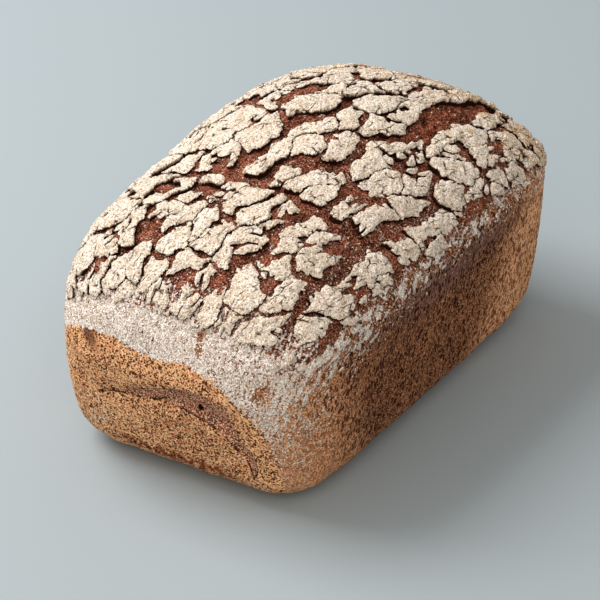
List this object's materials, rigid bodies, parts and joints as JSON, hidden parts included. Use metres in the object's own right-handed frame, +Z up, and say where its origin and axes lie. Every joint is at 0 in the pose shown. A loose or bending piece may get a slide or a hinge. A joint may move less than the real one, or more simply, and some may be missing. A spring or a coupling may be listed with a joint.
{
  "type": "buckwheat bread loaf",
  "caption": "Whole uncut tin loaf with a flat base, flared sides and a domed top whose floured crust has split into raised plates.",
  "frame": {"origin": "centre of the flat base the loaf stands on", "axes": "+Z up, +X along the loaf from its near end to its far end, +Y across it to the left"},
  "size_m": [0.2056, 0.1214, 0.1038],
  "materials": {
    "crust": "matte baked crust",
    "flour": "matte dried flour"
  },
  "bodies": {
    "root": {"loaf": "crust"}
  },
  "joints": []
}
